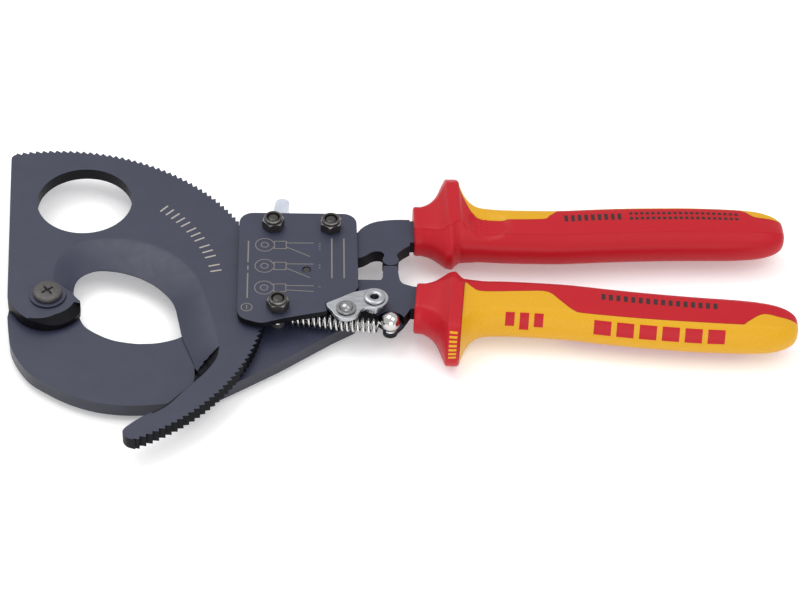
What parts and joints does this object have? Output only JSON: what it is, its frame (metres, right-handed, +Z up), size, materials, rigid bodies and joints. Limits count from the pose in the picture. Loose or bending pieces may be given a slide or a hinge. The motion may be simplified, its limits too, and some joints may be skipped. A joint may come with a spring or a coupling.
{
  "type": "cable cutter",
  "caption": "Ratchet cable cutter: toothed blade closing on a hooked fixed blade, cover plate, ratchet pawls, handle latch, return spring and two insulated grips with hand guards.",
  "frame": {"origin": "on the blade pivot axis, in the plane that the tool lies on", "axes": "+X from the blade pivot along the tool to the ends of the handles, +Z up out of the face with the cover plate, +Y towards the fixed handle"},
  "size_m": [0.2799, 0.1449, 0.0198],
  "materials": {
    "blade_steel": "blackened satin steel",
    "blackened_steel": "black oxide with bright worn edges",
    "bright_steel": "ground steel",
    "zinc": "zinc plated, brushed",
    "bronze": "sintered bronze",
    "red_grip": "fine grained",
    "yellow_grip": "fine grained"
  },
  "bodies": {
    "frame": {"fixed_blade": "blade_steel", "cover_plate": "blade_steel", "fixed_handle_tang": "blade_steel", "fixed_grip": "red_grip", "fixed_grip_pad": "yellow_grip", "bolt_top_left": "blackened_steel", "bolt_top_right": "blackened_steel", "bolt_bottom_left": "blackened_steel", "nut_top_left": "blackened_steel", "nut_top_right": "blackened_steel", "nut_bottom_left": "blackened_steel", "lock_pawl_sleeve": "bright_steel", "spring_spacer": "bright_steel", "handle_hinge_pin": "bright_steel", "tang_dowel_1": "bright_steel", "tang_dowel_2": "bright_steel", "pivot_post": "blackened_steel", "pivot_washer": "blade_steel", "pivot_screw": "blackened_steel", "lock_pawl_spring": "bright_steel", "return_spring": "bright_steel"},
    "moving_blade": {"moving_blade": "blade_steel", "pivot_bush": "bronze"},
    "moving_handle": {"moving_handle_tang": "blade_steel", "moving_grip": "red_grip", "moving_grip_pad": "yellow_grip", "spring_ball_stud": "bright_steel", "drive_pawl_pin": "bright_steel", "latch_eyelet": "zinc", "drive_pawl_spring": "bright_steel"},
    "drive_pawl": {"drive_pawl": "bright_steel"},
    "lock_pawl": {"lock_pawl": "zinc"},
    "latch": {"latch_plate": "zinc", "latch_button": "bright_steel"}
  },
  "joints": [
    {"name": "blade_pivot", "type": "hinge", "parent": "frame", "child": "moving_blade", "pos_m": [0, 0, 0.0096], "axis": [0, 0, 1], "range_deg": [-36.73, 108.37]},
    {"name": "handle_hinge", "type": "hinge", "parent": "frame", "child": "moving_handle", "pos_m": [0.09, 0.011, 0.0099], "axis": [0, 0, 1], "range_deg": [-30, 0], "deforming": ["return_spring"]},
    {"name": "drive_pawl_pivot", "type": "hinge", "parent": "moving_handle", "child": "drive_pawl", "pos_m": [0.0824, 0.0154, 0.0111], "axis": [0, 0, 1], "range_deg": [0, 8], "deforming": ["drive_pawl_spring"]},
    {"name": "lock_pawl_pivot", "type": "hinge", "parent": "frame", "child": "lock_pawl", "pos_m": [0.0781, 0.0333, 0.0099], "axis": [0, 0, 1], "range_deg": [-4, 15], "deforming": ["lock_pawl_spring"]},
    {"name": "latch_pivot", "type": "hinge", "parent": "moving_handle", "child": "latch", "pos_m": [0.1136, -0.005, 0.0162], "axis": [0, 0, 1], "range_deg": [0, 48]}
  ]
}
